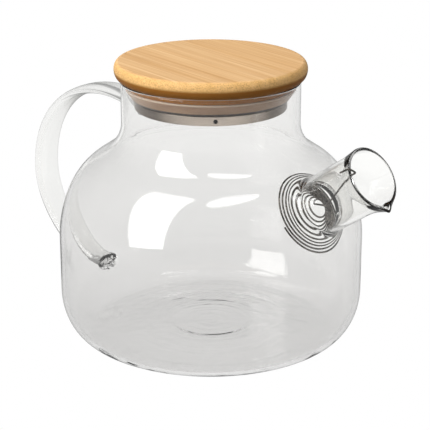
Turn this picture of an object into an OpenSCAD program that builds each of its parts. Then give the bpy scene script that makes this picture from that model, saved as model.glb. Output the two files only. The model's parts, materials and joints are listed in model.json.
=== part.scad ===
// Glass teapot: a blown body with a fused spout and a fused handle, a coiled wire
// filter hooked over the spout, and a bamboo lid with a seal and a steel cap.
// The origin is the centre of the base. +X points to the spout, +Z points up.

/* [Body] */
// Largest radius of the glass body
body_r = 70; // [69:0.5:72]
// Thickness of the glass
wall = 1.8; // [1.6:0.1:2]
// Radius of the flat part of the floor, inside the corner
floor_r = 54.5; // [53:0.5:56]
// Height of the rounded corner between floor and side
corner_h = 22; // [20:0.5:24]
// Height where the side starts to turn in to the shoulder
shoulder_z = 47; // [46:0.5:48]
// Radial size of the shoulder's ellipse
shoulder_w = 28.7; // [28.5:0.1:29]
// Height of the shoulder's ellipse
shoulder_h = 40.7; // [40.5:0.1:41]
// Angle through which the shoulder's ellipse runs
shoulder_angle = 62.5; // [62:0.5:63]
// Radius of the hollow curve from shoulder to neck
fillet_r = 16; // [15.5:0.5:16.5]
// Outer radius of the neck
neck_r = 40.7; // [40.5:0.1:41]
// Height where the neck becomes straight
neck_z = 101; // [100.5:0.5:101.5]
// Height of the glass rim
rim_z = 121; // [120:0.5:122]
// Outer radius of the ring that the pot stands on
foot_r = 52; // [50:0.5:53]
// Width of the ring that the pot stands on
foot_w = 7; // [5:0.5:9]
// Rise of the dished underside
punt_h = 2.4; // [1.5:0.1:3]
// Radius of the raised disc in the middle of the floor
punt_r = 17.5; // [15:0.5:20]

/* [Spout] */
// Slope of the spout above the horizontal
spout_angle = 35; // [34:0.5:36]
// Distance from the pot's axis to the centre of the mouth
mouth_x = 89.9; // [89.5:0.1:90.5]
// Height of the centre of the mouth
mouth_z = 92.7; // [92.4:0.1:93]
// Outer radius of the spout's tube
spout_r = 13.2; // [13:0.1:13.4]
// Outer radius of the spout's mouth
mouth_r = 13.9; // [13.7:0.1:14.1]
// Length over which the tube widens to the mouth
mouth_l = 7; // [5:0.5:9]
// Thickness of the spout's glass
spout_wall = 1.8; // [1.6:0.1:2]
// How much the spout widens where it meets the body
root_flare = 4; // [3:0.5:5]
// Distance from the mouth back to where the spout starts to widen
root_depth = 30; // [28:0.5:31]
// Length over which the spout widens
root_l = 14; // [13:0.5:15]
// Outer radius of the pouring lip
lip_r = 4.8; // [4.6:0.1:5]
// Slope of the lip below the line of the spout
lip_angle = 14; // [10:1:16]
// Length of the lip, back from the mouth
lip_l = 13; // [11:0.5:14]

/* [Handle] */
// Width of the handle strap from the neck to its furthest point
strap_w = 15; // [13:0.5:16]
// Width of the strap where it meets the side of the body
strap_low_w = 11.5; // [10:0.5:13]
// Thickness of the strap in the middle of the handle
strap_t = 4.4; // [4:0.1:5]
// Thickness of the strap where it is fused to the glass
strap_end_t = 7; // [6:0.1:7.5]
// Distance from the pot's axis to the middle of the strap at its furthest
handle_reach = 109.6; // [106:0.1:112]
// Height of the furthest point of the handle
handle_mid_z = 58.5; // [56:0.5:61]
// Height where the handle leaves the neck
handle_top_z = 101; // [100:0.5:103]
// Height where the handle meets the side of the body
handle_low_z = 16; // [15:0.5:18]

/* [Filter] */
// Diameter of the filter's wire
wire_d = 0.8; // [0.7:0.1:0.9]
// Radius of the coil's outermost turn
coil_r = 18.6; // [17.5:0.1:18.6]
// Radius of the coil's innermost turn
coil_eye_r = 3.4; // [3:0.1:4]
// Number of turns in the coil
coil_turns = 9.88; // [8.88:1:10.88]
// How far the eye of the coil is drawn into the spout
coil_dish = 8.2; // [7:0.1:8.5]
// Depth of the outermost turn behind the mouth
coil_depth = 41; // [41:0.1:43]
// Position of the hook round the mouth, from the lowest point
hook_angle = 247; // [230:1:260]

/* [Lid] */
// Radius of the bamboo disc at its widest
lid_r = 43.6; // [43:0.1:44]
// Radius of the disc's flat top
lid_top_r = 42.4; // [42:0.1:43]
// Radius of the disc's flat underside
lid_under_r = 40.6; // [40:0.1:41]
// Thickness of the bamboo disc
lid_t = 8; // [7:0.5:9]
// Radius of the step turned under the disc
step_r = 37.9; // [37:0.1:38]
// Depth of the step
step_h = 3; // [2.5:0.1:3.5]
// Radius of the core that carries the seal and the cap
core_r = 33; // [32:0.1:33.4]
// Outer radius of the seal at its top edge
seal_r = 38.5; // [38:0.1:38.6]
// Outer radius of the seal at its lower edge
seal_low_r = 35.4; // [35:0.1:36]
// Height of the seal
seal_h = 5.6; // [5:0.1:6]
// Outer radius of the steel cap
cap_r = 34.6; // [34.4:0.1:35]
// Thickness of the steel sheet
cap_t = 0.6; // [0.5:0.1:0.8]
// Height of the cap's band
cap_h = 4.3; // [4:0.1:5]
// Diameter of the hole in the cap's band
cap_hole_d = 2; // [1.5:0.1:2.5]
// Position of the hole round the lid
cap_hole_angle = 314; // [0:1:360]
// Air gap between the resting lid and the glass rim
lid_gap = 0.3; // [0.3:0.1:0.5]

/* [Hidden] */

arc_steps = 12;
round_fn = 96;
bore_r = spout_r - spout_wall;
mouth_bore_r = mouth_r - spout_wall;
shoulder_x = body_r - shoulder_w;
shoulder_slope = atan2(shoulder_w * sin(shoulder_angle), shoulder_h * cos(shoulder_angle));
lid_z = rim_z + lid_gap;
seal_top_z = lid_z - step_h;
seal_low_z = seal_top_z - seal_h;
cap_top_z = seal_low_z - 0.3;
cap_low_z = cap_top_z - cap_h;

glass_colour = [0.86, 0.9, 0.9, 0.35];
bamboo_colour = "burlywood";
seal_colour = "rosybrown";
steel_colour = "silver";
wire_colour = "dimgray";

// ---- Outline of the body ----------------------------------------------------
// Each arc takes an inset: 0 gives the outside of the glass, wall gives the inside.

function corner_arc(inset) = [
    for (i = [0 : arc_steps])
        let (a = 90 * i / arc_steps)
        [floor_r + (body_r - floor_r - inset) * sin(a), inset + (corner_h - inset) * (1 - cos(a))]
];

function shoulder_arc(inset) = [
    for (i = [0 : arc_steps])
        let (a = shoulder_angle * i / arc_steps)
        [shoulder_x + (shoulder_w - inset) * cos(a), shoulder_z + (shoulder_h - inset) * sin(a)]
];

function fillet_arc(inset) = [
    for (i = [0 : arc_steps])
        let (a = shoulder_slope * (1 - i / arc_steps))
        [neck_r + fillet_r - (fillet_r + inset) * cos(a), neck_z - (fillet_r + inset) * sin(a)]
];

function body_side(inset) = concat(corner_arc(inset), shoulder_arc(inset), fillet_arc(inset));

rim_arc = [
    for (i = [0 : arc_steps])
        let (a = 180 * i / arc_steps)
        [neck_r - wall / 2 + wall / 2 * cos(a), rim_z - wall / 2 + wall / 2 * sin(a)]
];

function turned_back(points) = [for (i = [len(points) - 1 : -1 : 0]) points[i]];

// Underside: flat standing ring, then a shallow dish up to the middle disc.
under_points = [[0, punt_h], [punt_r, punt_h], [foot_r - foot_w, 0], [foot_r, 0]];
floor_points = [[punt_r, wall + punt_h], [0, wall + punt_h]];

// Solid of the body's outside, filled in, used to trim what is fused to it.
module body_envelope() {
    rotate_extrude($fn = round_fn)
        polygon(concat([[0, 0]], body_side(0), [[neck_r, rim_z], [0, rim_z]]));
}

// Places its children in the spout's frame: origin at the mouth, +Z out of the spout,
// +X towards the lowest point of the mouth.
module in_spout() {
    translate([mouth_x, 0, mouth_z])
        rotate([0, 90 - spout_angle, 0])
            children();
}

// ---- Fused glass ------------------------------------------------------------

module glass_body() {
    color(glass_colour)
        difference() {
            rotate_extrude($fn = round_fn)
                polygon(concat(under_points, body_side(0), rim_arc,
                               turned_back(body_side(wall)), floor_points));
            in_spout()
                spout_bore();
        }
}

// Tube that widens where it meets the body.
spout_outline = concat(
    [[0, -50], [spout_r + root_flare, -50]],
    [for (i = [0 : arc_steps])
        let (a = 90 * (1 - i / arc_steps))
        [spout_r + root_flare * (1 - cos(a)), -root_depth - root_l * sin(a)]],
    [[spout_r, -mouth_l], [mouth_r, 0], [0, 0]]
);

// Hollow of the spout, from inside the body to beyond the mouth.
module spout_bore() {
    rotate_extrude($fn = round_fn)
        polygon([
            [0, -60],
            [bore_r, -60],
            [bore_r, -mouth_l],
            [mouth_bore_r, 0],
            [mouth_bore_r, 10],
            [0, 10]
        ]);
}

// Cone that forms one side of the lip, reaching past the mouth so that it can be trimmed.
module lip_cone(r) {
    translate([spout_r - lip_r, 0, -lip_l])
        rotate([0, lip_angle, 0])
            translate([0, 0, -4])
                cylinder(h = lip_l + 12, r = r, $fn = 48);
}

module glass_spout() {
    color(glass_colour)
        difference() {
            in_spout()
                difference() {
                    union() {
                        rotate_extrude($fn = round_fn)
                            polygon(spout_outline);
                        lip_cone(lip_r);
                    }
                    spout_bore();
                    lip_cone(lip_r - spout_wall);
                    cylinder(h = 30, r = 2 * spout_r, $fn = round_fn);
                }
            body_envelope();
        }
}

// Middle line of the handle: two Bezier curves that join at its furthest point.
handle_upper = [
    [-neck_r + 6, handle_top_z - 2],
    [-neck_r - 36, handle_top_z + 16.4],
    [-handle_reach, handle_mid_z + 34.5],
    [-handle_reach, handle_mid_z]
];
handle_lower = [
    [-handle_reach, handle_mid_z],
    [-handle_reach, handle_mid_z - 21.5],
    [-body_r - 16, handle_low_z - 4.5],
    [-body_r + 5, handle_low_z + 0.5]
];
handle_rings = 24;
strap_sides = 24;

function bezier(p, t) =
    pow(1 - t, 3) * p[0] + 3 * pow(1 - t, 2) * t * p[1]
    + 3 * (1 - t) * t * t * p[2] + pow(t, 3) * p[3];

function bezier_slope(p, t) =
    pow(1 - t, 2) * (p[1] - p[0]) + 2 * (1 - t) * t * (p[2] - p[1]) + t * t * (p[3] - p[2]);

// Strap thickness: even along the handle, growing over the last stretch to each end.
function strap_thickness(s) = strap_t + (strap_end_t - strap_t) * pow(abs(2 * s - 1), 6);

// Strap width: even down to the furthest point, then narrowing to the lower end.
function strap_width(s) = strap_w + (strap_low_w - strap_w) * pow(max(2 * s - 1, 0), 2);

// One ring of the strap: a flattened oval set square to the middle line.
function strap_ring(centre, slope, s) =
    let (n = [-slope[1], slope[0]] / norm(slope))
    [for (i = [0 : strap_sides - 1])
        let (a = 360 * i / strap_sides,
             across = strap_width(s) / 2 * sign(cos(a)) * pow(abs(cos(a)), 0.7),
             out = strap_thickness(s) / 2 * sign(sin(a)) * pow(abs(sin(a)), 0.8))
        [centre[0] + out * n[0], across, centre[1] + out * n[1]]
    ];

function strap_rings() = concat(
    [for (i = [0 : handle_rings])
        let (t = i / handle_rings)
        strap_ring(bezier(handle_upper, t), bezier_slope(handle_upper, t), t / 2)],
    [for (i = [1 : handle_rings])
        let (t = i / handle_rings)
        strap_ring(bezier(handle_lower, t), bezier_slope(handle_lower, t), 0.5 + t / 2)]
);

// Solid skinned over a list of rings that all have the same number of points.
module skin(rings) {
    sides = len(rings[0]);
    last = len(rings) - 1;
    polyhedron(
        points = [for (ring = rings) each ring],
        faces = concat(
            [[for (i = [0 : sides - 1]) i]],
            [[for (i = [sides - 1 : -1 : 0]) last * sides + i]],
            [for (k = [0 : last - 1], i = [0 : sides - 1])
                let (j = (i + 1) % sides)
                [k * sides + j, k * sides + i, (k + 1) * sides + i, (k + 1) * sides + j]]
        )
    );
}

module glass_handle() {
    color(glass_colour)
        difference() {
            skin(strap_rings());
            body_envelope();
        }
}

// ---- Wire filter ------------------------------------------------------------
// The wire is one line in the spout's frame: coil, eye, stem and hook.

coil_step = 15;
coil_start = 276;
wire_sides = 8;
hook_gap = 0.45;
hook_in_r = mouth_bore_r - wire_d / 2 - 1.5 * hook_gap;
hook_out_r = mouth_r + wire_d / 2 + hook_gap;
hook_over_z = wire_d / 2 + hook_gap;

// Depth of a turn behind the mouth: the coil lies back against the body, and its
// eye is drawn forward into the spout.
function coil_z(r) = -coil_depth + coil_dish * pow((coil_r - r) / (coil_r - coil_eye_r), 1.8);

coil_points = [
    for (a = [0 : coil_step : 360 * coil_turns])
        let (r = coil_r + (coil_eye_r - coil_r) * a / (360 * coil_turns))
        [r * cos(coil_start + a), r * sin(coil_start + a), coil_z(r)]
];

// A point in the spout's frame from its radius, its place round the mouth and its depth.
function polar(r, a, z) = [r * cos(a), r * sin(a), z];

eye_z = coil_z(coil_eye_r);
stem_low = [0.9, 2.7, eye_z + 1];
stem_top = polar(hook_in_r, hook_angle, -2);
hook_corners = [
    polar(hook_in_r, hook_angle, hook_over_z),
    polar(hook_out_r, hook_angle - 5, hook_over_z),
    polar(hook_out_r - 0.1, hook_angle - 7, -4.6)
];

// Rounds the corner at b between a and c, with a bend that starts bend_l before it.
function bend(a, b, c, bend_l, steps) =
    let (p = b + (a - b) * bend_l / norm(a - b), q = b + (c - b) * bend_l / norm(c - b))
    [for (i = [0 : steps])
        let (t = i / steps)
        pow(1 - t, 2) * p + 2 * t * (1 - t) * b + t * t * q];

wire_points = concat(
    coil_points,
    bend(coil_points[len(coil_points) - 1], [-0.4, 1.6, eye_z + 0.1], stem_low, 1, 4),
    bend([-0.4, 1.6, eye_z + 0.1], stem_low, stem_top, 1, 5),
    bend(stem_low, stem_top, hook_corners[0], 1.2, 5),
    bend(stem_top, hook_corners[0], hook_corners[1], 0.9, 6),
    bend(hook_corners[0], hook_corners[1], hook_corners[2], 0.9, 6),
    [hook_corners[2]]
);

function unit(v) = v / norm(v);

function wire_slope(i) =
    unit(wire_points[min(i + 1, len(wire_points) - 1)] - wire_points[max(i - 1, 0)]);

// A side direction carried along the wire from ring to ring, so that the skin never twists.
function wire_sides_from(i, side) =
    i == len(wire_points) ? [] :
    let (t = wire_slope(i), n = unit(side - (side * t) * t))
    concat([[n, cross(t, n)]], wire_sides_from(i + 1, n));

wire_frames = wire_sides_from(0, [0, 0, 1]);

function wire_rings() = [
    for (i = [0 : len(wire_points) - 1])
        [for (k = [0 : wire_sides - 1])
            let (a = 360 * k / wire_sides)
            wire_points[i] + wire_d / 2 * (cos(a) * wire_frames[i][0] + sin(a) * wire_frames[i][1])]
];

module spring_filter() {
    color(wire_colour)
        in_spout()
            skin(wire_rings());
}

// ---- Lid --------------------------------------------------------------------

lid_widest_z = lid_z + lid_t * 0.55;

// Rounded edge of the disc: two quarter ellipses, one above and one below the widest line.
function lid_edge() = concat(
    [for (i = [0 : arc_steps])
        let (a = 90 * i / arc_steps)
        [lid_under_r + (lid_r - lid_under_r) * sin(a), lid_widest_z - (lid_widest_z - lid_z) * cos(a)]],
    [for (i = [1 : arc_steps])
        let (a = 90 * i / arc_steps)
        [lid_top_r + (lid_r - lid_top_r) * cos(a), lid_widest_z + (lid_z + lid_t - lid_widest_z) * sin(a)]]
);

module bamboo_lid() {
    color(bamboo_colour)
        rotate_extrude($fn = round_fn)
            polygon(concat(
                [[0, cap_low_z + cap_t], [core_r, cap_low_z + cap_t], [core_r, seal_top_z],
                 [step_r, seal_top_z], [step_r, lid_z]],
                lid_edge(),
                [[0, lid_z + lid_t]]
            ));
}

module silicone_seal() {
    color(seal_colour)
        rotate_extrude($fn = round_fn)
            polygon([
                [core_r, seal_low_z],
                [seal_low_r, seal_low_z],
                [seal_r, seal_top_z - 0.8],
                [seal_r, seal_top_z],
                [core_r, seal_top_z]
            ]);
}

module steel_cap() {
    color(steel_colour)
        difference() {
            rotate_extrude($fn = round_fn)
                polygon([
                    [0, cap_low_z],
                    [cap_r, cap_low_z],
                    [cap_r, cap_top_z],
                    [core_r, cap_top_z],
                    [core_r, cap_low_z + cap_t],
                    [0, cap_low_z + cap_t]
                ]);
            rotate([0, 0, cap_hole_angle])
                translate([core_r, 0, cap_low_z + cap_h / 2])
                    rotate([0, 90, 0])
                        cylinder(h = 10, d = cap_hole_d, center = true, $fn = 32);
        }
}

glass_body();
glass_spout();
glass_handle();
spring_filter();
bamboo_lid();
silicone_seal();
steel_cap();
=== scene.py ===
import json
import math

import bpy
import numpy as np
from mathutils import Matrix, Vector


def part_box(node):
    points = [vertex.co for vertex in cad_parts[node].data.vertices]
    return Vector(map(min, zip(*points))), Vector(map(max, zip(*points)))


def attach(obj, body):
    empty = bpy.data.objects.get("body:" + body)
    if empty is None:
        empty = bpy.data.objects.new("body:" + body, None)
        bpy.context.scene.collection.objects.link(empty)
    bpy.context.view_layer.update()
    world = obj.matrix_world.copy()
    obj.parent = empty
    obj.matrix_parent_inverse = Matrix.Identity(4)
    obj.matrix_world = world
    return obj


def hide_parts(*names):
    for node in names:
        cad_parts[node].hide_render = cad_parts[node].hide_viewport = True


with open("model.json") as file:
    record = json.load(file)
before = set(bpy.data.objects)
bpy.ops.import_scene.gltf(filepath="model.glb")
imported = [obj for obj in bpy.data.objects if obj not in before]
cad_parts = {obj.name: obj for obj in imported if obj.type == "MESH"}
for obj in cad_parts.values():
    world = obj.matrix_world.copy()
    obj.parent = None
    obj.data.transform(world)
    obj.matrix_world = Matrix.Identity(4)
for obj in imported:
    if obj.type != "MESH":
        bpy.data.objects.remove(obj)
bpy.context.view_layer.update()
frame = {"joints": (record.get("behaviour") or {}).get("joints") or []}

MM = 0.001
TAU = 2 * math.pi


def mm_box(node):
    """The node's lowest and highest corners, in millimetres."""
    low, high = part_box(node)
    return np.array(low) / MM, np.array(high) / MM


# ---- Sizes, in millimetres ----------------------------------------------------
# Heights and radii come from the frame. The rest repeats the CAD part's own shape values.

_, body_high = mm_box("glass_body")
BODY_R = body_high[1]
RIM_Z = body_high[2]
WALL = 1.8
FLOOR_R = 54.5
CORNER_H = 22.0
SHOULDER_Z = 47.0
SHOULDER_W = 28.7
SHOULDER_H = 40.7
SHOULDER_END = math.radians(62.5)
FILLET_R = 16.0
NECK_R = 40.7
NECK_Z = 101.0
FOOT_R = 52.0
FOOT_IN = 2.0
PUNT_H = 2.4
PUNT_R = 17.5
DISH_SHARE = 0.9
DISC_SHARE = 0.1
DISC_EDGE_W = 4.0
RIDGE_H = 0.12
RIDGE_W = 2.2

turn_joint = next(j for j in frame["joints"] if j["name"] == "filter_turn")
MOUTH = np.array(turn_joint["pos_m"]) / MM
SPOUT_DIR = np.array(turn_joint["axis"]) / np.linalg.norm(turn_joint["axis"])
SPOUT_SIDE = np.array([0.0, 1.0, 0.0])
SPOUT_DOWN = np.cross(SPOUT_SIDE, SPOUT_DIR)
SPOUT_R = 13.2
MOUTH_R = 13.9
MOUTH_L = 7.0
MOUTH_BLEND_L = 3.0
SPOUT_WALL = 1.8
RIM_THIN = 0.35
RIM_THIN_L = 5.0
RIM_BEAD = 0.74
LIP_OUT = 2.5
LIP_L = 13.0
LIP_SPREAD = 0.2

HANDLE_REACH = 109.6
HANDLE_MID_Z = 58.5
HANDLE_TOP_Z = 101.0
HANDLE_LOW_Z = 16.0
STRAP_W = 15.0
STRAP_LOW_W = 11.5
STRAP_T = 4.4
STRAP_END_T = 7.0

# Where glass is fused on: how far before the body the fillet starts, and how far it spreads.
SPOUT_FILLET_OUT = (4.5, 5.0)
SPOUT_FILLET_IN = (3.5, 3.5)
HANDLE_FILLET_TOP = (5.0, 1.6)
HANDLE_FILLET_LOW = (4.5, 1.3)

WIRE_D = 0.8
COIL_R = 18.6
COIL_EYE_R = 3.4
COIL_TURNS = 9.88
COIL_DISH = 8.2
COIL_DEPTH = 41.0
COIL_START = math.radians(276)
HOOK_ANGLE = math.radians(247)
HOOK_GAP = 0.45
HOOK_OVER_TURN = math.radians(5)
HOOK_END_TURN = math.radians(7)
HOOK_END_DEPTH = 4.6
STEM_TOP_DEPTH = 2.0

_, lid_high = mm_box("bamboo_lid")
seal_low, seal_high = mm_box("silicone_seal")
cap_low, cap_high = mm_box("steel_cap")
LID_GAP = 0.3
LID_Z = RIM_Z + LID_GAP
LID_TOP_Z = lid_high[2]
LID_R = lid_high[1]
LID_TOP_R = 42.4
LID_UNDER_R = 40.6
STEP_R = 37.9
CORE_R = 33.0
TOP_EDGE_IN = 1.2
CORE_ROUND = 0.4
STEP_ROUND = 0.6
SEAL_FOOT_R = 35.4
CAP_T = 0.6
CAP_R = cap_high[1]
CAP_ROLL_R = 0.7
CAP_EDGE_R = 0.2
CAP_HOLE_R = 1.0
CAP_HOLE_ANGLE = math.radians(314)
widest = LID_Z + 0.55 * (LID_TOP_Z - LID_Z)
core_low = cap_low[2] + CAP_T

# Mesh density: points along curves, and columns round turned pieces. Turned discs start at AXIS_R.
AXIS_R = 0.05
COLUMNS = 288
LID_COLUMNS = 240
CAP_COLUMNS = 480
SPOUT_COLUMNS = 144
STRAP_COLUMNS = 72
HOLE_COLUMNS = 40
WIRE_COLUMNS = 12
CURVE_STEPS = 90
OUTSIDE_ROWS = 190
INSIDE_ROWS = 180
SPOUT_ROWS = 34
SPOUT_FILLET_ROWS = 14
STRAP_ROWS = 150
STRAP_FILLET_ROWS = 12
RIM_STEPS = 13
EDGE_STEPS = 22
GAP_RINGS = 6
CAP_ROWS = 22
LID_SPACING = 1.2
SEAL_SPACING = 0.8


# ---- Mesh building ------------------------------------------------------------

def make_piece(name, points, faces, body, nodes, material, normals=None):
    """Builds one smooth mesh from points in millimetres and puts it on its CAD body."""
    mesh = bpy.data.meshes.new(name)
    mesh.from_pydata([tuple(p) for p in np.asarray(points, float) * MM], [], faces)
    mesh.validate()
    mesh.polygons.foreach_set("use_smooth", [True] * len(mesh.polygons))
    if normals is not None:
        mesh.normals_split_custom_set_from_vertices([tuple(n) for n in normals])
    piece = bpy.data.objects.new(name, mesh)
    bpy.context.scene.collection.objects.link(piece)
    piece.data.materials.append(material)
    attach(piece, body)
    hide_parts(*nodes)


def unit(v):
    """Vectors scaled to length 1."""
    v = np.asarray(v, float)
    return v / np.linalg.norm(v, axis=-1, keepdims=True)


def smooth_step(x):
    """Eases from 0 at x = 0 to 1 at x = 1, and stays there."""
    x = np.clip(x, 0.0, 1.0)
    return x * x * (3 - 2 * x)


def columns_round(count):
    """Angles of evenly spaced columns."""
    return TAU * np.arange(count) / count


def grid_faces(rows, columns, flip=False, skipped=()):
    """Quads over a grid of points stored row by row, with the last column joined to the first."""
    faces = []
    for i in range(rows - 1):
        for j in range(columns):
            if (i, j) in skipped:
                continue
            k = (j + 1) % columns
            a = i * columns
            b = a + columns
            quad = (a + j, a + k, b + k, b + j)
            faces.append(quad[::-1] if flip else quad)
    return faces


class Profile:
    """A curve of radius against height turned round the Z axis, sampled finely by its length."""

    def __init__(self, points):
        self.points = np.asarray(points, float)
        steps = np.linalg.norm(np.diff(self.points, axis=0), axis=1)
        self.length = np.concatenate([[0.0], np.cumsum(steps)])

    def at(self, s):
        """Radius and height at length s."""
        return (np.interp(s, self.length, self.points[:, 0]),
                np.interp(s, self.length, self.points[:, 1]))

    def place(self, theta, s):
        r, z = self.at(s)
        return np.stack([r * np.cos(theta), r * np.sin(theta), z + 0 * theta], -1)

    def normal(self, theta, s, step=0.15):
        r0, z0 = self.at(s - step)
        r1, z1 = self.at(s + step)
        n = unit(np.stack([z1 - z0, -(r1 - r0)], -1))
        return np.stack([n[..., 0] * np.cos(theta), n[..., 0] * np.sin(theta), n[..., 1]], -1)

    def radius_at_height(self, z):
        return np.interp(z, self.points[:, 1], self.points[:, 0])

    def length_at_height(self, z):
        return np.interp(z, self.points[:, 1], self.length)


def arc(centre, size, start, stop, count):
    """Points of an ellipse in radius and height, between two angles."""
    a = np.linspace(start, stop, count)
    return np.stack([centre[0] + size[0] * np.cos(a), centre[1] + size[1] * np.sin(a)], -1)


def side_points(inset):
    """The side of the glass from the floor's edge up to the neck: inset 0 is outside, WALL inside."""
    corner = arc((FLOOR_R, CORNER_H), (BODY_R - FLOOR_R - inset, CORNER_H - inset),
                 -TAU / 4, 0, CURVE_STEPS)
    shoulder = arc((BODY_R - SHOULDER_W, SHOULDER_Z), (SHOULDER_W - inset, SHOULDER_H - inset),
                   0, SHOULDER_END, CURVE_STEPS)
    slope = math.atan2(SHOULDER_W * math.sin(SHOULDER_END), SHOULDER_H * math.cos(SHOULDER_END))
    fillet = arc((NECK_R + FILLET_R, NECK_Z), (FILLET_R + inset, FILLET_R + inset),
                 math.pi + slope, math.pi, CURVE_STEPS)
    return np.concatenate([corner, shoulder[1:], fillet[1:]])


def meet(profile, start, way, far=90.0, stride=0.5):
    """Where lines from start along way meet the turned surface, found by strides and halving."""
    start = np.atleast_2d(start)
    way = np.broadcast_to(way, start.shape)

    def outside(t):
        p = start + t[:, None] * way
        return np.hypot(p[:, 0], p[:, 1]) > profile.radius_at_height(p[:, 2])

    low = np.zeros(len(start))
    high = np.zeros(len(start))
    open_end = np.ones(len(start), bool)
    for t in np.arange(0.0, far, stride):
        out = outside(np.full(len(start), t))
        hit = open_end & ~out
        high[hit] = t
        open_end &= out
        low[open_end] = t
    for _ in range(40):
        mid = (low + high) / 2
        out = outside(mid)
        low = np.where(out, mid, low)
        high = np.where(out, high, mid)
    return start + high[:, None] * way


def surface_coordinates(profile, points):
    """Angle, and length along the profile, of points on a turned surface."""
    return np.arctan2(points[:, 1], points[:, 0]), profile.length_at_height(points[:, 2])


def pierced_surface(profile, rows, columns, holes, flip):
    """A turned surface over the given lengths, with holes whose closed edge curves lie on it.

    Round each hole the grid is left out, and a fan of rings joins the gap's edge to the curve."""
    grid_t, grid_s = np.meshgrid(columns_round(columns), rows)
    t_all, s_all = [grid_t.ravel()], [grid_s.ravel()]
    skipped = set()
    faces = []
    count = grid_t.size
    for edge in holes:
        centre = edge.mean(0)
        around = math.atan2(centre[1], centre[0])
        edge_t, edge_s = surface_coordinates(profile, edge)
        edge_t = around + (edge_t - around + math.pi) % TAU - math.pi
        j0 = int(math.floor(edge_t.min() / TAU * columns)) - 2
        j1 = int(math.ceil(edge_t.max() / TAU * columns)) + 2
        i0 = int(np.searchsorted(rows, edge_s.min())) - 3
        i1 = int(np.searchsorted(rows, edge_s.max())) + 2
        skipped |= {(i, j % columns) for i in range(i0, i1) for j in range(j0, j1)}
        ring = ([(i0, j) for j in range(j0, j1)] + [(i, j1) for i in range(i0, i1)]
                + [(i1, j) for j in range(j1, j0, -1)] + [(i, j0) for i in range(i1, i0, -1)])
        outer_t = np.array([TAU * j / columns for _, j in ring])
        outer_s = np.array([rows[i] for i, _ in ring])
        mid_t, mid_s = edge_t.mean(), edge_s.mean()
        scale = profile.at(mid_s)[0]
        outer_a = np.arctan2(outer_s - mid_s, (outer_t - mid_t) * scale)
        edge_a = np.arctan2(edge_s - mid_s, (edge_t - mid_t) * scale)
        order = np.argsort(edge_a)
        inner_t = np.interp(outer_a, edge_a[order], edge_t[order], period=TAU)
        inner_s = np.interp(outer_a, edge_a[order], edge_s[order], period=TAU)
        previous = [i * columns + j % columns for i, j in ring]
        for k in range(1, GAP_RINGS + 1):
            f = k / GAP_RINGS
            t_all.append(outer_t + (inner_t - outer_t) * f)
            s_all.append(outer_s + (inner_s - outer_s) * f)
            current = list(range(count, count + len(ring)))
            count += len(ring)
            for n in range(len(ring)):
                m = (n + 1) % len(ring)
                quad = (previous[n], previous[m], current[m], current[n])
                faces.append(quad[::-1] if flip else quad)
            previous = current
    faces += grid_faces(len(rows), columns, flip, skipped)
    t, s = np.concatenate(t_all), np.concatenate(s_all)
    normals = profile.normal(t, s) * (-1 if flip else 1)
    return profile.place(t, s), normals, faces


def joined(*parts):
    """Several (points, normals, faces) as one."""
    points, normals, faces = [], [], []
    first = 0
    for p, n, f in parts:
        points.append(p)
        normals.append(n)
        faces += [tuple(first + k for k in face) for face in f]
        first += len(p)
    return np.concatenate(points), np.concatenate(normals), faces


def sheet(grid, flip=False, first_normals=None, last_normals=None):
    """A tube of closed rings as (points, normals, faces)."""
    around = np.roll(grid, -1, 1) - np.roll(grid, 1, 1)
    normals = unit(np.cross(around, np.gradient(grid, axis=0)))
    if flip:
        normals = -normals
    if first_normals is not None:
        normals[0] = first_normals
    if last_normals is not None:
        normals[-1] = last_normals
    rows, columns = grid.shape[:2]
    return grid.reshape(-1, 3), normals.reshape(-1, 3), grid_faces(rows, columns, flip=flip)


def quadratic(start, corner, end, t):
    """A curve from start to end that is tangent to the lines from each to the corner."""
    return (1 - t) ** 2 * start + 2 * t * (1 - t) * corner + t * t * end


def bend_onto(top, corner, end, count):
    """Rings of a hollow fillet from the tube's ring to the body's, tangent to both."""
    return quadratic(top, corner, end, np.linspace(0, 1, count)[:, None, None])


# ---- Glass --------------------------------------------------------------------

outer_side = Profile(np.concatenate([side_points(0), [[NECK_R, RIM_Z]]]))
inner_side = Profile(np.concatenate([side_points(WALL), [[NECK_R - WALL, RIM_Z]]]))

# Spout: rings run from the mouth down to the body. Angle 0 is the lowest point of the mouth.
spout_angle = columns_round(SPOUT_COLUMNS)
spout_out = np.cos(spout_angle)[:, None] * SPOUT_DOWN + np.sin(spout_angle)[:, None] * SPOUT_SIDE
from_lip = np.abs((spout_angle + math.pi) % TAU - math.pi)
lip_shape = np.exp(-(from_lip / LIP_SPREAD) ** 1.6)


def spout_radius(depth, wall):
    """Radius of each column at its depth behind the mouth; wall 0 is outside, SPOUT_WALL inside."""
    widening = smooth_step(1 - depth / (MOUTH_L + MOUTH_BLEND_L)) ** 1.4
    thinning = RIM_THIN * smooth_step(1 - depth / RIM_THIN_L)
    plain = SPOUT_R + (MOUTH_R - SPOUT_R) * widening - wall + (thinning if wall else 0.0)
    reach = np.clip(1 - depth / LIP_L, 0, 1) ** 2.2
    return plain + LIP_OUT * reach * lip_shape


def spout_wall_rings(profile, wall, blend, spread):
    """Rings of one side of the spout, from just below the mouth to the edge curve on the body."""
    plain = SPOUT_R - wall
    hit = meet(profile, MOUTH + plain * spout_out, -SPOUT_DIR)
    end = meet(profile, MOUTH + (plain + spread) * spout_out, -SPOUT_DIR)
    last_depth = (MOUTH - hit) @ SPOUT_DIR - blend
    rows = []
    for f in np.linspace(0, 1, SPOUT_ROWS)[1:]:
        depth = f * last_depth
        radius = spout_radius(depth, wall)
        rows.append(MOUTH - depth[:, None] * SPOUT_DIR + radius[:, None] * spout_out)
    fillet = bend_onto(rows[-1], hit, end, SPOUT_FILLET_ROWS)[1:]
    t, s = surface_coordinates(profile, end)
    return np.concatenate([np.array(rows), fillet]), end, profile.normal(t, s)


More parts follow.
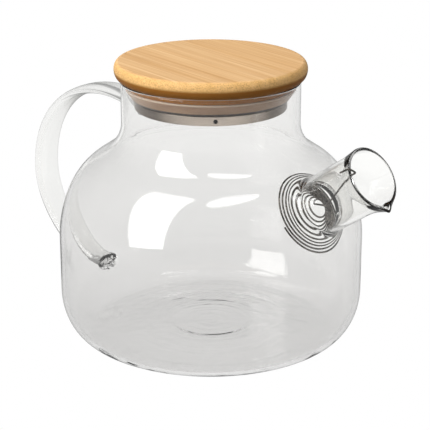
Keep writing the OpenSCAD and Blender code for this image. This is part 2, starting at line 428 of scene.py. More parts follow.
outer_rows, spout_edge_out, outer_normals = spout_wall_rings(outer_side, 0.0, *SPOUT_FILLET_OUT)
inner_rows, spout_edge_in, inner_normals = spout_wall_rings(inner_side, SPOUT_WALL,
                                                            *SPOUT_FILLET_IN)

# Fire-polished rim: a half round bead.
middle = (spout_radius(0.0, 0.0) + spout_radius(0.0, SPOUT_WALL)) / 2
rim_rows = []
for a in np.linspace(0, math.pi, RIM_STEPS):
    radius = middle - RIM_BEAD * math.cos(a)
    height = RIM_BEAD * (math.sin(a) - 1)
    rim_rows.append(MOUTH + height * SPOUT_DIR + radius[:, None] * spout_out)
spout_grid = np.concatenate([inner_rows[::-1], np.array(rim_rows), outer_rows])
spout_mesh = sheet(spout_grid, flip=True, first_normals=-inner_normals, last_normals=outer_normals)

# Handle: a strap swept along two Bezier curves, with both ends drawn out onto the glass.
HANDLE_UPPER = np.array([[-NECK_R + 6, HANDLE_TOP_Z - 2], [-NECK_R - 36, HANDLE_TOP_Z + 16.4],
                         [-HANDLE_REACH, HANDLE_MID_Z + 34.5], [-HANDLE_REACH, HANDLE_MID_Z]])
HANDLE_LOWER = np.array([[-HANDLE_REACH, HANDLE_MID_Z], [-HANDLE_REACH, HANDLE_MID_Z - 21.5],
                         [-BODY_R - 16, HANDLE_LOW_Z - 4.5], [-BODY_R + 5, HANDLE_LOW_Z + 0.5]])
STRIDE_S = 0.002
strap_angle = columns_round(STRAP_COLUMNS)


def handle_line(s):
    """The strap's middle and slope at s, 0 at the neck and 1 at the lower end, in the XZ plane."""
    control = HANDLE_UPPER if s <= 0.5 else HANDLE_LOWER
    t = 2 * s if s <= 0.5 else 2 * s - 1
    place = ((1 - t) ** 3 * control[0] + 3 * (1 - t) ** 2 * t * control[1]
             + 3 * (1 - t) * t * t * control[2] + t ** 3 * control[3])
    slope = ((1 - t) ** 2 * (control[1] - control[0])
             + 2 * (1 - t) * t * (control[2] - control[1])
             + t * t * (control[3] - control[2]))
    return place, unit(slope)


def strap_ring(s, grow=0.0):
    """The strap's rounded outline across its middle line at s."""
    place, slope = handle_line(s)
    normal = np.array([-slope[1], slope[0]])
    width = STRAP_W + (STRAP_LOW_W - STRAP_W) * max(2 * s - 1, 0) ** 2
    thick = STRAP_T + (STRAP_END_T - STRAP_T) * abs(2 * s - 1) ** 6
    c, n = np.cos(strap_angle), np.sin(strap_angle)
    across = (width / 2 + grow) * np.sign(c) * np.abs(c) ** 0.8
    out = (thick / 2 + grow) * np.sign(n) * np.abs(n) ** 0.9
    return np.stack([place[0] + out * normal[0], across, place[1] + out * normal[1]], -1)


def handle_end(s_end, towards, blend, grow):
    """One fused end: where the strap stops, the rings that spread it onto the body, the rings'
    edge and its normals. Towards is 1 where s grows towards the body, and -1 where it falls."""
    _, slope = handle_line(s_end)
    way = np.array([slope[0], 0.0, slope[1]]) * towards
    s_stop = s_end
    step = -STRIDE_S * towards
    while True:
        p, _ = handle_line(s_stop)
        here = meet(outer_side, [[p[0], 0.0, p[1]]], way)[0]
        if np.hypot(here[0] - p[0], here[2] - p[1]) >= blend or not 0 < s_stop + step < 1:
            break
        s_stop += step
    _, slope = handle_line(s_stop)
    way = np.array([slope[0], 0.0, slope[1]]) * towards
    ring = strap_ring(s_stop)
    corner = meet(outer_side, ring, way)
    end = meet(outer_side, strap_ring(s_stop, grow), way)
    t, s = surface_coordinates(outer_side, end)
    rings = bend_onto(ring, corner, end, STRAP_FILLET_ROWS)[1:]
    return s_stop, rings, end, outer_side.normal(t, s)


def first_outside(s, step):
    """The first s from one end at which the strap's middle is clear of the body."""
    while True:
        p, _ = handle_line(s)
        if abs(p[0]) > outer_side.radius_at_height(p[1]) + 1.0:
            return s
        s += step


top_s, top_rows, handle_edge_top, top_normals = handle_end(
    first_outside(0.0, STRIDE_S), -1, *HANDLE_FILLET_TOP)
low_s, low_rows, handle_edge_low, low_normals = handle_end(
    first_outside(1.0, -STRIDE_S), 1, *HANDLE_FILLET_LOW)
strap_rows = np.array([strap_ring(s) for s in np.linspace(top_s, low_s, STRAP_ROWS)])
handle_grid = np.concatenate([top_rows[::-1], strap_rows, low_rows])
handle_mesh = sheet(handle_grid, first_normals=top_normals, last_normals=low_normals)

# Body: outside with three holes, inside with one, and the rim, underside and floor between them.
out_rows = np.linspace(0, outer_side.length_at_height(RIM_Z - WALL / 2), OUTSIDE_ROWS)
in_rows = np.linspace(0, inner_side.length_at_height(RIM_Z - WALL / 2), INSIDE_ROWS)
outside = pierced_surface(outer_side, out_rows, COLUMNS,
                          [spout_edge_out, handle_edge_top, handle_edge_low], False)
inside = pierced_surface(inner_side, in_rows, COLUMNS, [spout_edge_in], True)


def turned(points, columns, flip=False):
    """A surface turned from a run of radius and height points, as (points, normals, faces)."""
    profile = Profile(points)
    t, s = np.meshgrid(columns_round(columns), profile.length)
    normals = profile.normal(t, s) * (-1 if flip else 1)
    return (profile.place(t, s).reshape(-1, 3), normals.reshape(-1, 3),
            grid_faces(len(points), columns, flip=flip))


rim_points = arc((NECK_R - WALL / 2, RIM_Z - WALL / 2), (WALL / 2, WALL / 2), 0, math.pi, RIM_STEPS)


def floor_height(r):
    """Underside: a shallow dish inside the standing ring, with a faint sunk disc in its middle."""
    dish = PUNT_H * smooth_step((FOOT_R - FOOT_IN - r) / (FOOT_R - PUNT_R - FOOT_IN)) * DISH_SHARE
    disc = PUNT_H * DISC_SHARE * smooth_step((PUNT_R + DISC_EDGE_W / 2 - r) / DISC_EDGE_W)
    return dish - disc


# The floor's points are closest together round the disc's edge, which has a low ridge above it.
floor_r = np.concatenate([np.linspace(AXIS_R, PUNT_R - 5, 20),
                          np.linspace(PUNT_R - 4.6, PUNT_R + 4, 30),
                          np.linspace(PUNT_R + 5, FLOOR_R, 60)])
ridge = RIDGE_H * np.exp(-((floor_r - PUNT_R) / RIDGE_W) ** 2)
underside = np.stack([floor_r, floor_height(floor_r)], -1)
floor_top = np.stack([floor_r, floor_height(floor_r) + WALL + ridge], -1)
body_mesh = joined(outside, inside, turned(rim_points, COLUMNS),
                   turned(underside, COLUMNS), turned(floor_top, COLUMNS, flip=True))


# ---- Materials ----------------------------------------------------------------
# Noise sizes are features per metre along X, Y and Z. Colours are linear. Heights are in metres.

WHITE = (1.0, 1.0, 1.0)

# Glass. A tint colours the light at each surface it crosses.
GLASS_IOR = 1.47
BODY_TINT = (0.93, 0.928, 0.921)
BODY_LOW_TINT = (0.84, 0.836, 0.83)
SPOUT_TINT = (0.985, 0.985, 0.97)
HANDLE_TINT = (0.915, 0.915, 0.9)
HANDLE_LOW_TINT = (0.925, 0.925, 0.91)
TINT_DRIFT = 0.012
LOW_TINT_HEIGHTS = (0.012, 0.075)
EDGE_TINT = (0.34, 0.35, 0.3)
SPOUT_EDGE_TINT = (0.85, 0.84, 0.74)
EDGE_START = 0.84
SPOUT_EDGE_START = 0.86
HANDLE_EDGE_START = 0.66
BODY_WAVE = 0.00008
SPOUT_WAVE = 0.00006
HANDLE_WAVE = 0.0001
BASE_RINGS_PER_M = 230.0
BASE_HEIGHTS = (0.022, 0.008)
FUSED_REACH = (0.009, 0.004)
SHADOW_TINT = (0.9, 0.91, 0.9)

# Bamboo. The grain's turn is about the lid's axis.
GRAIN_TURN = math.radians(12.5)
WOOD_DEEP = (0.66, 0.38, 0.15)
WOOD_PLAIN = (0.745, 0.462, 0.218)
WOOD_LIGHT = (0.81, 0.54, 0.28)
WOOD_FIBRE = (0.45, 0.215, 0.065)
WOOD_STRIP = (0.86, 0.62, 0.37)
WOOD_PATCH = (0.86, 0.55, 0.27)
WOOD_SIDE = (0.92, 0.56, 0.2)
WOOD_SPECK = (0.36, 0.17, 0.05)
# Painted shade below the lid's widest line:
WOOD_UNDER_SHADE = (0.27, 0.09, 0.006)
# Painted shade on the core behind the seal and the cap:
WOOD_CORE_SHADE = (0.012, 0.01, 0.008)

SILICONE_DEEP = (0.25, 0.15, 0.088)
SILICONE_LIGHT = (0.35, 0.228, 0.148)
# Painted highlight on the seal's top edge:
SILICONE_LIP_HIGHLIGHT = (0.62, 0.5, 0.4)
# Painted shade at the seal's base, where it meets the cap:
SILICONE_FOOT_SHADE = (0.02, 0.014, 0.01)

# The band's colour carries a painted reflection: light and dark zones repeat three times round it,
# and one light zone faces this way.
BAND_REFLECTION_ANGLE = math.radians(-46)
STEEL_DEEP = (0.5, 0.43, 0.37)
STEEL_LIGHT = (0.66, 0.58, 0.5)
STEEL_DARK_REFLECTION = (0.07, 0.055, 0.045)
WIRE_DEEP = (0.075, 0.068, 0.06)
WIRE_LIGHT = (0.17, 0.155, 0.14)


class Nodes:
    """Shorthand for making and linking nodes in one tree."""

    def __init__(self, tree):
        self.tree = tree

    def put(self, node, key, value):
        """Links a socket to one input of a node, or sets any other value on it."""
        if isinstance(value, bpy.types.NodeSocket):
            self.tree.links.new(value, node.inputs[key])
        else:
            node.inputs[key].default_value = value

    def fill(self, node, **values):
        """Links or sets the inputs of those names, with _ for a space."""
        for key, value in values.items():
            self.put(node, key.replace("_", " "), value)
        return node

    def add(self, kind, **values):
        return self.fill(self.tree.nodes.new(kind), **values)

    def math(self, operation, a, b=0.0, clamp=False):
        made = self.tree.nodes.new("ShaderNodeMath")
        made.operation = operation
        made.use_clamp = clamp
        self.put(made, 0, a)
        self.put(made, 1, b)
        return made.outputs[0]

    def vector(self, operation, a, b=None):
        """Vector maths. The result is a number where the operation measures, else a vector."""
        made = self.tree.nodes.new("ShaderNodeVectorMath")
        made.operation = operation
        self.put(made, 0, a)
        if b is not None:
            self.put(made, 1, b)
        measures = operation in ("LENGTH", "DISTANCE", "DOT_PRODUCT")
        return made.outputs["Value" if measures else "Vector"]

    def place(self, scale=(1, 1, 1), turn=0.0):
        """Object coordinates in metres, turned about Z and then scaled."""
        source = self.add("ShaderNodeTexCoord").outputs["Object"]
        turned_by = self.add("ShaderNodeVectorRotate", Vector=source, Angle=turn)
        turned_by.rotation_type = "Z_AXIS"
        return self.vector("MULTIPLY", turned_by.outputs[0], scale)

    def part_of(self, vector, axis):
        return self.add("ShaderNodeSeparateXYZ", Vector=vector).outputs[axis]

    def noise(self, vector, detail, roughness=0.5):
        made = self.add("ShaderNodeTexNoise", Vector=vector, Scale=1.0, Detail=detail,
                        Roughness=roughness)
        return made.outputs["Fac"]

    def cells(self, vector, randomness, output):
        made = self.add("ShaderNodeTexVoronoi", Vector=vector, Scale=1.0, Randomness=randomness)
        return made.outputs[output]

    def ramp(self, value, *stops):
        """A colour ramp; each stop is a place and a colour."""
        made = self.add("ShaderNodeValToRGB", Fac=value)
        band = made.color_ramp
        while len(band.elements) < len(stops):
            band.elements.new(1.0)
        for element, (place, colour) in zip(band.elements, stops):
            element.position = place
            element.color = (*colour, 1.0)
        return made.outputs["Color"]

    def mix(self, share, a, b, blend="MIX"):
        """Colour a where the share is 0, and colour b where it is 1."""
        made = self.tree.nodes.new("ShaderNodeMix")
        made.data_type = "RGBA"
        made.blend_type = blend
        self.put(made, 0, share)
        for index, colour in ((6, a), (7, b)):
            self.put(made, index, (*colour, 1.0) if isinstance(colour, tuple) else colour)
        return made.outputs[2]

    def spread(self, value, low, high, to_low=0.0, to_high=1.0, interpolation="LINEAR"):
        """A value moved from one range to another, and kept inside it."""
        made = self.add("ShaderNodeMapRange", Value=value, From_Min=low, From_Max=high,
                        To_Min=to_low, To_Max=to_high)
        made.interpolation_type = interpolation
        return made.outputs["Result"]


class Look(Nodes):
    """A node material built around one Principled shader."""

    def __init__(self, name, **values):
        self.material = bpy.data.materials.new(name)
        self.material.use_nodes = True
        super().__init__(self.material.node_tree)
        self.shader = self.fill(self.tree.nodes["Principled BSDF"], **values)
        self.output = self.tree.nodes["Material Output"]

    def wear(self, **values):
        """Links or sets the shader's own inputs."""
        self.fill(self.shader, **values)

    def bump(self, height, distance):
        made = self.add("ShaderNodeBump", Height=height, Distance=distance, Strength=1.0)
        self.wear(Normal=made.outputs["Normal"])


def glass_look(name, wave, tint, low_tint, edge_start=EDGE_START, edge_tint=EDGE_TINT, fused=None):
    """Clear glass with the slow waves of blown work, deeper in tone low down and at its edges.

    The base has rings and finer waves, and the glass ripples near the fused place if one is given.
    Shadow rays pass straight through, so lamps reach what is behind."""
    look = Look(name, Roughness=0.0, IOR=GLASS_IOR, Transmission_Weight=1.0)
    height = look.part_of(look.place(), 2)
    drifted = tuple(min(1.0, c + TINT_DRIFT) for c in tint)
    upper = look.ramp(look.noise(look.place((16, 16, 9)), 1.0), (0.3, tint), (0.7, drifted))
    toned = look.mix(look.spread(height, *LOW_TINT_HEIGHTS), low_tint, upper)
    facing = look.add("ShaderNodeLayerWeight", Blend=0.5).outputs["Facing"]
    look.wear(Base_Color=look.mix(look.spread(facing, edge_start, 1.0), toned, edge_tint))

    from_axis = look.vector("LENGTH", look.place((1, 1, 0)))
    across = look.add("ShaderNodeCombineXYZ", X=look.math("MULTIPLY", from_axis, BASE_RINGS_PER_M))
    rings = look.noise(across.outputs[0], 1.0)
    blown = look.noise(look.place((55, 55, 55)), 2.0)
    worked = look.math("ADD", look.math("MULTIPLY", rings, 2.0), look.math("MULTIPLY", blown, 6.0))
    low = look.spread(height, *BASE_HEIGHTS)
    slow = look.noise(look.place((38, 38, 22)), 1.5)
    waves = look.math("ADD", slow, look.math("MULTIPLY", worked, low))
    if fused:
        close = look.spread(look.vector("DISTANCE", look.place(), fused), *FUSED_REACH)
        ripple = look.noise(look.place((260, 260, 420)), 2.0)
        rippled = look.math("MULTIPLY", ripple, look.math("MULTIPLY", close, 9.0))
        waves = look.math("ADD", waves, rippled)
    look.bump(waves, wave)

    path = look.add("ShaderNodeLightPath")
    clear = look.add("ShaderNodeBsdfTransparent", Color=(*SHADOW_TINT, 1.0))
    blend = look.add("ShaderNodeMixShader")
    for index, socket in enumerate((path.outputs["Is Shadow Ray"], look.shader.outputs[0],
                                    clear.outputs[0])):
        look.put(blend, index, socket)
    look.fill(look.output, Surface=blend.outputs[0])
    return look.material


def bamboo_look():
    """Laminated bamboo: fine fibres along the grain, faint strips, and dots where fibres are cut,
    with painted shade below its widest line and on its core.
    """
    look = Look("bamboo", Roughness=0.42, IOR=1.3, Specular_IOR_Level=0.2)
    height = look.part_of(look.place(), 2)
    fine = look.noise(look.place((14, 1500, 700), GRAIN_TURN), 3.0, 0.6)
    broad = look.noise(look.place((5, 260, 120), GRAIN_TURN), 2.0, 0.55)
    patch = look.noise(look.place((14, 30, 30), GRAIN_TURN), 2.0)
    strip = look.part_of(look.cells(look.place((0.6, 62, 0.6), GRAIN_TURN), 0.7, "Color"), 0)
    base = look.ramp(broad, (0.3, WOOD_DEEP), (0.5, WOOD_PLAIN), (0.7, WOOD_LIGHT))
    base = look.mix(look.spread(fine, 0.38, 0.62, 0.5, 0.0), base, WOOD_FIBRE)
    base = look.mix(look.spread(strip, 0.0, 1.0, 0.0, 0.16), base, WOOD_STRIP)
    base = look.mix(look.spread(patch, 0.35, 0.7, 0.0, 0.22), base, WOOD_PATCH)

    # The rounded side cuts across the fibres.
    normal = look.add("ShaderNodeTexCoord").outputs["Normal"]
    side = look.spread(look.math("ABSOLUTE", look.part_of(normal, 2)), 0.97, 0.7)
    dots = look.cells(look.place((1900, 1900, 1800), GRAIN_TURN), 0.9, "Distance")
    speck = look.math("MULTIPLY", look.spread(dots, 0.5, 0.25), side)
    coloured = look.mix(look.math("MULTIPLY", side, 0.6), base, WOOD_SIDE)
    coloured = look.mix(look.math("MULTIPLY", speck, 0.55), coloured, WOOD_SPECK)
    # Painted shade: the lid is darkened below its widest line, where it faces down, away from the
    # lamps.
    under_shade = look.spread(height, (widest + 0.2) * MM, (widest - 1.0) * MM, 0.0, 0.9)
    coloured = look.mix(under_shade, coloured, WOOD_UNDER_SHADE)

    # The core is seen only through the glass; its near-black colour is painted shade, standing for
    # the shade of the seal and the cap.
    hidden = look.spread(height, (seal_low[2] + 0.2) * MM, (seal_low[2] - 0.2) * MM)
    look.wear(Base_Color=look.mix(hidden, coloured, WOOD_CORE_SHADE),
              Roughness=look.spread(broad, 0.3, 0.7, 0.36, 0.52))
    raised, sunk = look.math("MULTIPLY", fine, 0.6), look.math("MULTIPLY", speck, 0.8)
    look.bump(look.math("SUBTRACT", raised, sunk), 0.00006)
    return look.material


def silicone_look():
    """Milky brown rubber, with a painted highlight along its top edge and painted shade at its base.
    """
    look = Look("silicone", Roughness=0.33, IOR=1.41, Subsurface_Weight=0.35,
                Subsurface_Radius=(0.004, 0.0032, 0.0028), Subsurface_Scale=1.0)
    height = look.part_of(look.place(), 2)
    cloud = look.noise(look.place((70, 70, 160)), 2.0)
    colour = look.ramp(cloud, (0.3, SILICONE_DEEP), (0.7, SILICONE_LIGHT))
    # Painted highlight along the top edge, and painted shade at the base where the seal meets the
    # cap.
    lip_highlight = look.spread(height, (seal_high[2] - 0.9) * MM, (seal_high[2] - 0.2) * MM)
    foot_shade = look.spread(height, (seal_low[2] + 1.3) * MM, (seal_low[2] + 0.8) * MM)
    colour = look.mix(foot_shade, look.mix(lip_highlight, colour, SILICONE_LIP_HIGHLIGHT), SILICONE_FOOT_SHADE)
    look.wear(Base_Color=colour, Roughness=look.spread(cloud, 0.3, 0.7, 0.28, 0.42))
    look.bump(look.noise(look.place((420, 420, 420)), 2.0), 0.00003)
    return look.material


def steel_look():
    """Stainless sheet brushed round the band, with fine scratches that follow it, and a painted
    reflection of light and dark patches round it.
    """
    look = Look("brushed_steel", Metallic=1.0, Roughness=0.32)
    brush = look.noise(look.place((60, 60, 9000)), 3.0, 0.7)
    broad = look.noise(look.place((45, 45, 300)), 2.0)
    outward = look.vector("NORMALIZE", look.place((1, 1, 0)))
    cosine = look.vector("DOT_PRODUCT", outward, (math.cos(BAND_REFLECTION_ANGLE), math.sin(BAND_REFLECTION_ANGLE), 0.0))

    # Painted reflection zones: cos 3a = cos a (4 cos a cos a - 3), with a measured from the light
    # zone.
    square = look.math("MULTIPLY", cosine, cosine)
    reflection_zones = look.math("MULTIPLY", cosine,
                      look.math("SUBTRACT", look.math("MULTIPLY", square, 4.0), 3.0))
    steel = look.mix(look.spread(broad, 0.3, 0.7), STEEL_DEEP, STEEL_LIGHT)
    # The dark zones are painted reflection, laid into the steel's colour.
    look.wear(Base_Color=look.mix(look.spread(reflection_zones, 0.8, -0.8, 0.0, 0.85), steel, STEEL_DARK_REFLECTION),
              Roughness=look.spread(brush, 0.3, 0.7, 0.24, 0.42))
    look.bump(brush, 0.00002)
    return look.material


def wire_look():
    """Drawn stainless wire, dulled by use."""
    look = Look("wire", Metallic=1.0, Roughness=0.24)
    along = look.noise(look.place((300, 300, 300)), 3.0)
    look.wear(Base_Color=look.mix(look.spread(along, 0.3, 0.7), WIRE_DEEP, WIRE_LIGHT),
              Roughness=look.spread(along, 0.3, 0.7, 0.2, 0.34))
    look.bump(look.noise(look.place((1800, 1800, 1800)), 2.0), 0.00001)
    return look.material


fused_low = tuple(np.mean(handle_edge_low, axis=0) * MM)
body_glass = glass_look("glass_body_clear", BODY_WAVE, BODY_TINT, BODY_LOW_TINT, fused=fused_low)
spout_glass = glass_look("glass_spout_clear", SPOUT_WAVE, SPOUT_TINT, SPOUT_TINT, SPOUT_EDGE_START,
                         edge_tint=SPOUT_EDGE_TINT)
handle_glass = glass_look("glass_handle_clear", HANDLE_WAVE, HANDLE_TINT, HANDLE_LOW_TINT,
                          HANDLE_EDGE_START, fused=fused_low)

for piece_name, (points, normals, faces), node, glass in (
        ("teapot_body", body_mesh, "glass_body", body_glass),
        ("teapot_spout", spout_mesh, "glass_spout", spout_glass),
        ("teapot_handle", handle_mesh, "glass_handle", handle_glass)):
    make_piece(piece_name, points, faces, "pot", [node], glass, normals)


# ---- Lid ----------------------------------------------------------------------

def round_corner(before, corner, after, radius, count=6):
    """A quadratic rounding of one corner of a profile."""
    before, corner, after = (np.asarray(p, float) for p in (before, corner, after))
    start = corner + unit(before - corner) * radius
    end = corner + unit(after - corner) * radius
    return quadratic(start, corner, end, np.linspace(0, 1, count)[:, None])


def filled(points, spacing):
    """A profile with points added along its long straights, about the spacing apart."""
    result = [points[0]]
    for a, b in zip(points[:-1], points[1:]):
        steps = max(1, int(np.linalg.norm(b - a) / spacing))
        result += [a + (b - a) * k / steps for k in range(1, steps + 1)]
    return np.array(result)


under_edge = arc((LID_UNDER_R, widest), (LID_R - LID_UNDER_R, widest - LID_Z),
                 -TAU / 4, 0, EDGE_STEPS)
top_edge = arc((LID_TOP_R - TOP_EDGE_IN, widest),
               (LID_R - LID_TOP_R + TOP_EDGE_IN, LID_TOP_Z - widest),
               0, TAU / 4, EDGE_STEPS)
lid_points = np.concatenate([
    [[AXIS_R, core_low]],
    round_corner((0, core_low), (CORE_R, core_low), (CORE_R, seal_high[2]), CORE_ROUND),
    [[CORE_R, seal_high[2]]],
    round_corner((CORE_R, seal_high[2]), (STEP_R, seal_high[2]), (STEP_R, LID_Z),
                 STEP_ROUND),
    [[STEP_R, LID_Z]],
    under_edge,
    top_edge[1:],
    [[AXIS_R, LID_TOP_Z]],
])
points, normals, faces = turned(filled(lid_points, LID_SPACING), LID_COLUMNS)
make_piece("lid_bamboo", points, faces, "lid", ["bamboo_lid"], bamboo_look())

seal_top = seal_high[2]
seal_r = seal_high[1]
seal_corners = [(CORE_R, seal_low[2]), (SEAL_FOOT_R, seal_low[2]), (seal_r - 0.25, seal_top - 1.0),
                (seal_r, seal_top - 0.5), (seal_r, seal_top), (CORE_R, seal_top)]
seal_points = [np.array([seal_corners[0]])]
for k, radius in ((1, 0.7), (2, 0.3), (3, 0.2), (4, 0.35)):
    seal_points.append(round_corner(*seal_corners[k - 1:k + 2], radius))
seal_points += [np.array([seal_corners[5]]), np.array([seal_corners[0]])]
points, normals, faces = turned(filled(np.concatenate(seal_points), SEAL_SPACING), LID_COLUMNS)
make_piece("lid_seal", points, faces, "lid", ["silicone_seal"], silicone_look())

# Steel cap: a band with a small hole, rolled over at its lower edge into the flat bottom.
band = Profile([[CAP_R, cap_low[2] + CAP_ROLL_R], [CAP_R, cap_high[2] - CAP_EDGE_R]])
band_back = Profile([[CORE_R, core_low], [CORE_R, cap_high[2]]])
hole_angle = columns_round(HOLE_COLUMNS)
hole_out = np.array([math.cos(CAP_HOLE_ANGLE), math.sin(CAP_HOLE_ANGLE), 0.0])
hole_side = np.array([-hole_out[1], hole_out[0], 0.0])
hole_middle = (cap_low[2] + cap_high[2]) / 2


def hole_ring(radius):
    """The hole's edge on a cylinder of that radius."""
    side = CAP_HOLE_R * np.cos(hole_angle)
    height = hole_middle + CAP_HOLE_R * np.sin(hole_angle)
    out = np.sqrt(radius ** 2 - side ** 2)
    ring = out[:, None] * hole_out + side[:, None] * hole_side
    ring[:, 2] = height
    return ring


band_rows = np.linspace(0, band.length[-1], CAP_ROWS)
back_rows = np.linspace(0, band_back.length[-1], CAP_ROWS)
front = pierced_surface(band, band_rows, CAP_COLUMNS, [hole_ring(CAP_R)], False)
back = pierced_surface(band_back, back_rows, CAP_COLUMNS, [hole_ring(CORE_R)], True)
hole_wall = sheet(np.array([hole_ring(r) for r in np.linspace(CAP_R, CORE_R, 5)]))
roll = arc((CAP_R - CAP_ROLL_R, cap_low[2] + CAP_ROLL_R), (CAP_ROLL_R, CAP_ROLL_R), -TAU / 4, 0, 8)
cap_bottom = np.concatenate([[[r, cap_low[2]] for r in (AXIS_R, 10, 22, 31)], roll])
edge = arc((CAP_R - CAP_EDGE_R, cap_high[2] - CAP_EDGE_R), (CAP_EDGE_R, CAP_EDGE_R), 0, TAU / 4, 5)
cap_top = np.concatenate([edge, [[CORE_R, cap_high[2]]]])
cap_inside = [[r, core_low] for r in (AXIS_R, 16, CORE_R)]
points, normals, faces = joined(front, back, hole_wall, turned(cap_bottom, CAP_COLUMNS),
                                turned(cap_top, CAP_COLUMNS),
                                turned(cap_inside, CAP_COLUMNS, flip=True))
make_piece("lid_cap", points, faces, "lid", ["steel_cap"], steel_look(), normals)


# ---- Wire filter --------------------------------------------------------------
# One line in the spout's frame, as in the CAD: coil, eye, stem and hook.

def polar(radius, angle, height):
    """A point about the spout's axis; height 0 is the rim, and angle 0 its lowest point."""
    return np.array([radius * math.cos(angle), radius * math.sin(angle), height])


def coil_height(radius):
    """The coil is flat outside and rises towards its eye."""
    share = (COIL_R - radius) / (COIL_R - COIL_EYE_R)
    return -COIL_DEPTH + COIL_DISH * np.maximum(share, 0) ** 1.8


def bend(a, b, c, length, steps):
    """A rounded corner at b, between a and c, that starts that length before it."""
    start = b + (a - b) * length / np.linalg.norm(a - b)
    end = b + (c - b) * length / np.linalg.norm(c - b)
    return quadratic(start, b, end, np.linspace(0, 1, steps + 1)[:, None])


MOUTH_BORE_R = MOUTH_R - SPOUT_WALL
hook_in_r = MOUTH_BORE_R - WIRE_D / 2 - 1.5 * HOOK_GAP
hook_out_r = MOUTH_R + WIRE_D / 2 + HOOK_GAP
hook_over = WIRE_D / 2 + HOOK_GAP
coil_degrees = np.arange(0, COIL_TURNS * 360, 5.0)
coil_radius = COIL_R + (COIL_EYE_R - COIL_R) * coil_degrees / (COIL_TURNS * 360)
coil_angle = COIL_START + np.radians(coil_degrees)
coil = np.stack([coil_radius * np.cos(coil_angle), coil_radius * np.sin(coil_angle),
                 coil_height(coil_radius)], -1)
eye = float(coil_height(COIL_EYE_R))
eye_bend = np.array([-0.4, 1.6, eye + 0.1])
stem_low = np.array([0.9, 2.7, eye + 1])
stem_top = polar(hook_in_r, HOOK_ANGLE, -STEM_TOP_DEPTH)
hook_corners = [polar(hook_in_r, HOOK_ANGLE, hook_over),
                polar(hook_out_r, HOOK_ANGLE - HOOK_OVER_TURN, hook_over),
                polar(hook_out_r - 0.1, HOOK_ANGLE - HOOK_END_TURN, -HOOK_END_DEPTH)]
wire_line = np.concatenate([
    coil,
    bend(coil[-1], eye_bend, stem_low, 1.0, 6),
    bend(eye_bend, stem_low, stem_top, 1.0, 8),
    bend(stem_low, stem_top, hook_corners[0], 1.2, 10),
    bend(stem_top, hook_corners[0], hook_corners[1], 0.9, 12),
    bend(hook_corners[0], hook_corners[1], hook_corners[2], 0.9, 12),
    [hook_corners[2]],
])
wire_line = MOUTH + wire_line @ np.array([SPOUT_DOWN, SPOUT_SIDE, SPOUT_DIR])


def wire_mesh(line, radius):
    """A round wire along a line, closed by a low dome at each end."""
    slope = unit(np.gradient(line, axis=0))
    side = unit(np.cross(slope[0], SPOUT_DIR + 0.1))
    angle = columns_round(WIRE_COLUMNS)
    dome = [(0.5, 0.75), (0.8, 0.3)]
    rings = []
    for k, t in enumerate(slope):
        side = unit(side - (side @ t) * t)
        other = np.cross(t, side)
        outline = [(0.0, 1.0)]
        if k == 0:
            outline = [(-along, size) for along, size in dome[::-1]] + outline
        if k == len(slope) - 1:
            outline += dome
        for along, size in outline:
            rings.append(line[k] + t * along * radius + size * radius
                         * (np.cos(angle)[:, None] * side + np.sin(angle)[:, None] * other))
    grid = np.array(rings)
    ends = np.arange(WIRE_COLUMNS)
    faces = grid_faces(len(grid), WIRE_COLUMNS)
    faces += [tuple(ends[::-1]), tuple(ends + (len(grid) - 1) * WIRE_COLUMNS)]
    return grid.reshape(-1, 3), faces


points, faces = wire_mesh(wire_line, WIRE_D / 2)
make_piece("filter_wire", points, faces, "filter", ["spring_filter"], wire_look())


# ---- Floor, light and camera --------------------------------------------------
# The camera sees the floor and the world white. Other rays see them in the tones below, which
# stand for the darker surroundings that clear glass shows in a studio.

FLOOR_R_M = 4.0
FLOOR_Z_M = -0.0002
FLOOR_SIDES = 64
FLOOR_BOUNCE = 0.1
MIRRORED_FLOOR = 0.34

# A darker patch of floor in front of the pot: azimuth, cosines of its soft sides, and distances.
PATCH_SIDE = 40
PATCH_COSINES = (0.55, 0.9)
PATCH_NEAR_EDGE = (0.16, 0.23)
PATCH_FAR_EDGE = (0.36, 0.3)
PATCH_TONE = (0.66, 0.64, 0.62)

# Grey of the world against the height of the ray's direction, and its share in reflections.
WORLD_TONES = ((0.0, 0.8), (0.1, 0.62), (0.3, 0.42), (0.7, 0.32), (1.0, 0.4))
REFLECTED_WORLD = 0.55

LIGHT_CENTRE = Vector((0, 0, 0.06))

CAMERA_AZIMUTH = 40.5
CAMERA_DISTANCE = 0.6795
CAMERA_OFFSET = Vector((0.0014, 0.0013, 0.2913))
AIM = Vector((0.00144, 0.00123, 0.05564))
SENSOR_MM = 36.0
LENS_MM = 129.9


def direction(azimuth, elevation):
    """Unit vector from the pot towards an azimuth and an elevation in degrees."""
    a, e = math.radians(azimuth), math.radians(elevation)
    return Vector((math.sin(a) * math.cos(e), -math.cos(a) * math.cos(e), math.sin(e)))


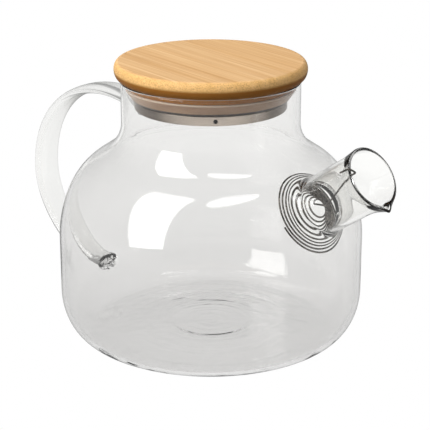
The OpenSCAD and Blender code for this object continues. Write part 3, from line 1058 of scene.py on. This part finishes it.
def floor_look():
    """White for the camera, and darker for rays that mirror or bounce, most of all in the patch."""
    material = bpy.data.materials.new("floor_white")
    material.use_nodes = True
    nodes = Nodes(material.node_tree)
    nodes.tree.nodes.remove(nodes.tree.nodes["Principled BSDF"])
    path = nodes.add("ShaderNodeLightPath")
    mirrored = nodes.math("MULTIPLY", path.outputs["Is Reflection Ray"], 1 - MIRRORED_FLOOR)
    bounced = nodes.math("MULTIPLY", path.outputs["Is Diffuse Ray"], MIRRORED_FLOOR - FLOOR_BOUNCE)
    strength = nodes.math("SUBTRACT", nodes.math("SUBTRACT", 1.0, mirrored), bounced)

    place = nodes.add("ShaderNodeTexCoord").outputs["Object"]
    reach = nodes.vector("LENGTH", place)
    near_edge = nodes.spread(reach, *PATCH_NEAR_EDGE, interpolation="SMOOTHSTEP")
    far_edge = nodes.spread(reach, *PATCH_FAR_EDGE, interpolation="SMOOTHSTEP")
    along = nodes.vector("DOT_PRODUCT", nodes.vector("NORMALIZE", place), direction(PATCH_SIDE, 0))
    sides = nodes.spread(along, *PATCH_COSINES, interpolation="SMOOTHSTEP")
    patch = nodes.math("MULTIPLY", sides, nodes.math("MULTIPLY", near_edge, far_edge))
    hidden = nodes.math("SUBTRACT", patch, path.outputs["Is Camera Ray"], clamp=True)
    glow = nodes.add("ShaderNodeEmission", Color=nodes.mix(hidden, WHITE, PATCH_TONE),
                     Strength=strength)
    nodes.fill(nodes.tree.nodes["Material Output"], Surface=glow.outputs[0])
    return material


def floor_piece():
    """The pale floor, just below the pot's standing ring."""
    mesh = bpy.data.meshes.new("floor")
    angle = TAU * np.arange(FLOOR_SIDES) / FLOOR_SIDES
    mesh.from_pydata([(FLOOR_R_M * math.cos(a), FLOOR_R_M * math.sin(a), FLOOR_Z_M) for a in angle],
                     [], [tuple(range(FLOOR_SIDES))])
    floor = bpy.data.objects.new("floor", mesh)
    bpy.context.scene.collection.objects.link(floor)
    floor.data.materials.append(floor_look())


def softbox(name, azimuth, elevation, width, height, distance, radiance, roll=0.0,
            shift=(0.0, 0.0), shape="RECTANGLE"):
    """A soft light facing the pot. Its width, height and shift are shares of its distance."""
    light = bpy.data.lights.new(name, "AREA")
    light.shape = shape
    light.size = width * distance
    light.size_y = height * distance
    light.energy = radiance * math.pi * light.size * light.size_y
    lamp = bpy.data.objects.new(name, light)
    bpy.context.scene.collection.objects.link(lamp)
    towards = direction(azimuth, elevation)
    up = direction(azimuth, elevation + 90)
    right = up.cross(towards)
    lamp.location = LIGHT_CENTRE + distance * (towards + shift[0] * right + shift[1] * up)
    turn = towards.to_track_quat("Z", "Y").to_euler()
    turn.rotate_axis("Z", math.radians(roll))
    lamp.rotation_euler = turn


def studio_world():
    """White for the camera; for other rays pale at the horizon, greyer above, dimmer mirrored."""
    world = bpy.data.worlds.new("studio")
    bpy.context.scene.world = world
    world.use_nodes = True
    nodes = Nodes(world.node_tree)
    path = nodes.add("ShaderNodeLightPath")
    height = nodes.part_of(nodes.add("ShaderNodeTexCoord").outputs["Generated"], 2)
    tone = nodes.ramp(height, *((level, (grey,) * 3) for level, grey in WORLD_TONES))
    mirrored = nodes.math("SUBTRACT", path.outputs["Is Reflection Ray"],
                          path.outputs["Is Diffuse Ray"], clamp=True)
    dimmed = nodes.mix(mirrored, tone, (REFLECTED_WORLD,) * 3, "MULTIPLY")
    seen = nodes.mix(path.outputs["Is Camera Ray"], dimmed, WHITE)
    nodes.fill(nodes.tree.nodes["Background"], Color=seen, Strength=1.0)


def add_camera():
    data = bpy.data.cameras.new("camera")
    data.sensor_width = SENSOR_MM
    data.lens = LENS_MM
    data.clip_start = 0.01
    camera = bpy.data.objects.new("camera", data)
    bpy.context.scene.collection.objects.link(camera)
    camera.location = direction(CAMERA_AZIMUTH, 0) * CAMERA_DISTANCE + CAMERA_OFFSET
    camera.rotation_mode = "QUATERNION"
    camera.rotation_quaternion = (AIM - camera.location).to_track_quat("-Z", "Y")
    bpy.context.scene.camera = camera


floor_piece()
studio_world()
softbox("key_softbox", azimuth=-15, elevation=40, width=0.56, height=1.40, distance=1.5,
        radiance=5.2, roll=14.5, shift=(-0.03, 0.05))
softbox("top_softbox", azimuth=84, elevation=74, width=0.62, height=0.25, distance=1.3,
        radiance=3.6, shape="ELLIPSE")
add_camera()

# A line of sight crosses many layers of glass.
scene = bpy.context.scene
scene.view_settings.view_transform = "Standard"
scene.cycles.max_bounces = 28
scene.cycles.transmission_bounces = 28
scene.cycles.glossy_bounces = 12
scene.cycles.transparent_max_bounces = 24
